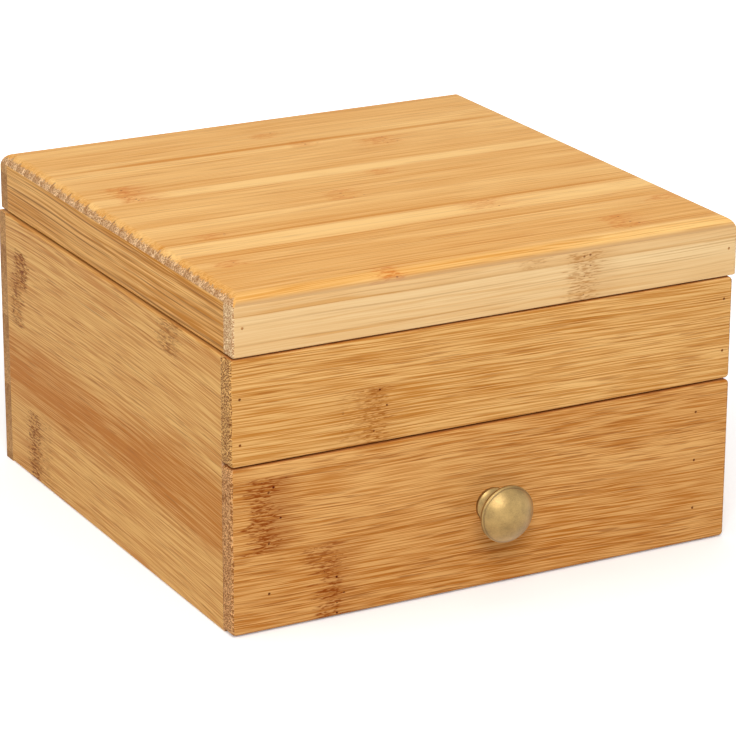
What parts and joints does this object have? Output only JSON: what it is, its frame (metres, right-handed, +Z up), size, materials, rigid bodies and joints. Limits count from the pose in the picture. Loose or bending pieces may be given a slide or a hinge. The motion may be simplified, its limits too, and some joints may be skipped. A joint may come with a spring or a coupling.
{
  "type": "jewelry box",
  "caption": "Square bamboo jewelry box with a hinged mirror lid over a divided tray, and a drawer with a round knob below it.",
  "frame": {"origin": "middle of the case's footprint, on the table that it stands on", "axes": "+X to the right, +Y to the back and +Z up; the drawer and its knob face -Y, and the lid's hinges are at +Y"},
  "size_m": [0.2012, 0.2226, 0.122],
  "materials": {
    "bamboo": "satin varnish",
    "bamboo_dark": "satin varnish",
    "brass": "brushed",
    "steel": "zinc-plated",
    "mirror_glass": "polished",
    "velvet": "soft pile",
    "felt": "matte"
  },
  "bodies": {
    "case": {"back_panel": "bamboo", "back_panel_brads": "brass", "case_bottom": "bamboo", "drawer_guide_left": "bamboo", "drawer_guide_right": "bamboo", "felt_left_back": "felt", "felt_right_1": "felt", "felt_right_2": "felt", "felt_right_3": "felt", "felt_ring_section": "felt", "hinge_case_leaf_left": "brass", "hinge_case_leaf_right": "brass", "hinge_case_screws": "brass", "hinge_pin_left": "brass", "hinge_pin_right": "brass", "left_side_panel": "bamboo", "right_side_panel": "bamboo", "ring_roll_1": "velvet", "ring_roll_2": "velvet", "ring_roll_3": "velvet", "ring_roll_4": "velvet", "ring_roll_5": "velvet", "ring_roll_6": "velvet", "tray_divider_cross_1": "bamboo", "tray_divider_cross_2": "bamboo", "tray_divider_long": "bamboo", "tray_divider_ring": "bamboo", "tray_floor": "bamboo", "upper_front_board": "bamboo", "upper_front_brads": "brass"},
    "lid": {"hinge_lid_leaf_left": "brass", "hinge_lid_leaf_right": "brass", "hinge_lid_screws": "brass", "lid_back_board": "bamboo", "lid_back_brads": "brass", "lid_front_board": "bamboo", "lid_front_brads": "brass", "lid_left_board": "bamboo", "lid_right_board": "bamboo", "lid_top_panel": "bamboo", "mirror": "mirror_glass", "mirror_bead_back": "bamboo", "mirror_bead_front": "bamboo", "mirror_bead_left": "bamboo", "mirror_bead_right": "bamboo"},
    "drawer": {"drawer_back": "bamboo", "drawer_back_brads": "brass", "drawer_bottom": "bamboo", "drawer_front": "bamboo_dark", "drawer_front_brads": "brass", "drawer_left_side": "bamboo", "drawer_right_side": "bamboo", "felt_drawer": "felt", "knob": "brass", "knob_screw": "steel", "knob_washer": "steel"}
  },
  "joints": [
    {"name": "lid_hinge", "type": "hinge", "parent": "case", "child": "lid", "pos_m": [0, 0.1018, 0.1003], "axis": [-1, 0, 0], "range_deg": [0, 95]},
    {"name": "drawer_slide", "type": "slide", "parent": "case", "child": "drawer", "axis": [0, -1, 0], "range_m": [0, 0.15]}
  ]
}
